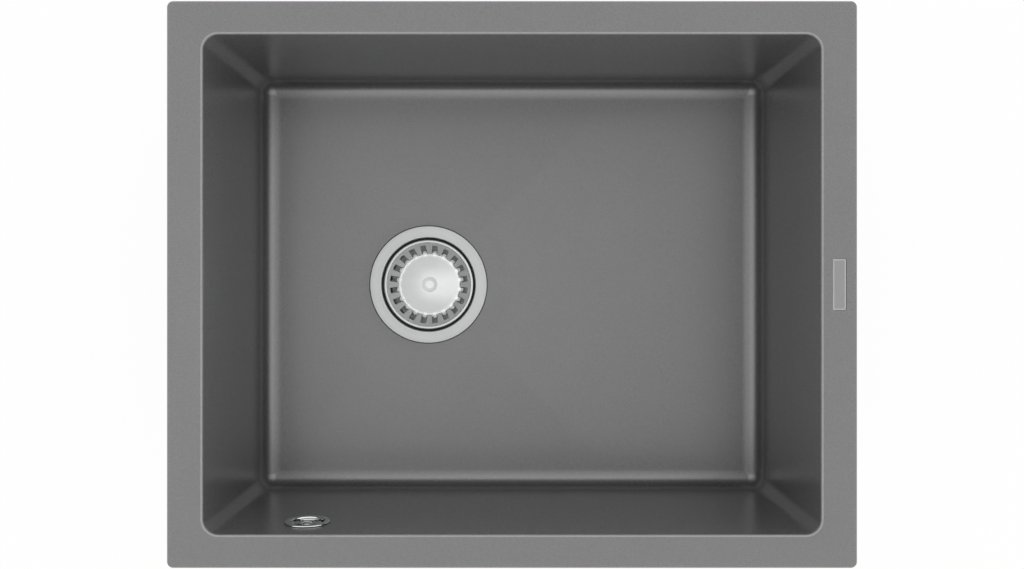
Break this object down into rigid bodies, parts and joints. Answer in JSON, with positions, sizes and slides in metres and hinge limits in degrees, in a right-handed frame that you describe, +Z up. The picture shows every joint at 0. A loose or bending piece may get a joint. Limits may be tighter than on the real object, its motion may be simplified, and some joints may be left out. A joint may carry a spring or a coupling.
{
  "type": "kitchen sink",
  "caption": "Single-bowl composite granite kitchen sink with flat rim, offset basket strainer waste, side overflow with hose, and swivelling fixing clips.",
  "frame": {"origin": "centre of the worktop cut-out, on the plane where the rim's underside lies on the worktop", "axes": "+X right along the long side, +Y to the back, +Z up out of the bowl"},
  "size_m": [0.56, 0.4725, 0.281],
  "materials": {
    "granite": "matte",
    "brushed_steel": "satin",
    "polished_steel": "polished",
    "chrome": "polished",
    "zinc_steel": "satin",
    "brass": "satin",
    "rubber": "matte",
    "white_plastic": "satin",
    "hose_plastic": "satin",
    "grey_plastic": "satin"
  },
  "bodies": {
    "sink": {"sink_bowl": "granite", "name_plate": "brushed_steel", "drain_flange": "brushed_steel", "flange_seal": "rubber", "clamp_screw": "polished_steel", "clamp_nut": "brass", "waste_seal": "rubber", "waste_body": "white_plastic", "overflow_cover": "chrome", "overflow_screw": "chrome", "overflow_front_seal": "rubber", "overflow_rear_seal": "rubber", "overflow_elbow": "white_plastic", "overflow_insert": "brass", "overflow_hose": "hose_plastic", "hose_nut_upper": "white_plastic", "hose_nut_lower": "white_plastic", "hose_seal_upper": "rubber", "hose_seal_lower": "rubber", "clip_inserts": "brass", "clip_screws": "zinc_steel", "clip_washers": "zinc_steel"},
    "basket_carrier": {"stem_sleeve": "grey_plastic"},
    "basket": {"basket": "polished_steel", "basket_seal": "rubber", "basket_button": "polished_steel", "basket_stem": "polished_steel"},
    "clip_front_left": {"clip_front_left": "zinc_steel"},
    "clip_front_right": {"clip_front_right": "zinc_steel"},
    "clip_back_left": {"clip_back_left": "zinc_steel"},
    "clip_back_right": {"clip_back_right": "zinc_steel"},
    "clip_left_front": {"clip_left_front": "zinc_steel"},
    "clip_left_back": {"clip_left_back": "zinc_steel"},
    "clip_right_front": {"clip_right_front": "zinc_steel"},
    "clip_right_back": {"clip_right_back": "zinc_steel"}
  },
  "joints": [
    {"name": "basket_lift", "type": "slide", "parent": "sink", "child": "basket_carrier", "axis": [0, 0, 1], "range_m": [0, 0.24]},
    {"name": "basket_turn", "type": "hinge", "parent": "basket_carrier", "child": "basket", "pos_m": [-0.083, 0, -0.185], "axis": [0, 0, 1], "continuous": true},
    {"name": "clip_front_left_swing", "type": "hinge", "parent": "sink", "child": "clip_front_left", "pos_m": [-0.11, -0.21372, -0.048], "axis": [0, 0, -1], "range_deg": [0, 90]},
    {"name": "clip_front_right_swing", "type": "hinge", "parent": "sink", "child": "clip_front_right", "pos_m": [0.11, -0.21372, -0.048], "axis": [0, 0, 1], "range_deg": [0, 90]},
    {"name": "clip_back_left_swing", "type": "hinge", "parent": "sink", "child": "clip_back_left", "pos_m": [-0.11, 0.21372, -0.048], "axis": [0, 0, 1], "range_deg": [0, 90]},
    {"name": "clip_back_right_swing", "type": "hinge", "parent": "sink", "child": "clip_back_right", "pos_m": [0.11, 0.21372, -0.048], "axis": [0, 0, -1], "range_deg": [0, 90]},
    {"name": "clip_left_front_swing", "type": "hinge", "parent": "sink", "child": "clip_left_front", "pos_m": [-0.26113, -0.115, -0.048], "axis": [0, 0, 1], "range_deg": [0, 90]},
    {"name": "clip_left_back_swing", "type": "hinge", "parent": "sink", "child": "clip_left_back", "pos_m": [-0.26113, 0.115, -0.048], "axis": [0, 0, -1], "range_deg": [0, 90]},
    {"name": "clip_right_front_swing", "type": "hinge", "parent": "sink", "child": "clip_right_front", "pos_m": [0.26113, -0.115, -0.048], "axis": [0, 0, -1], "range_deg": [0, 90]},
    {"name": "clip_right_back_swing", "type": "hinge", "parent": "sink", "child": "clip_right_back", "pos_m": [0.26113, 0.115, -0.048], "axis": [0, 0, 1], "range_deg": [0, 90]}
  ]
}
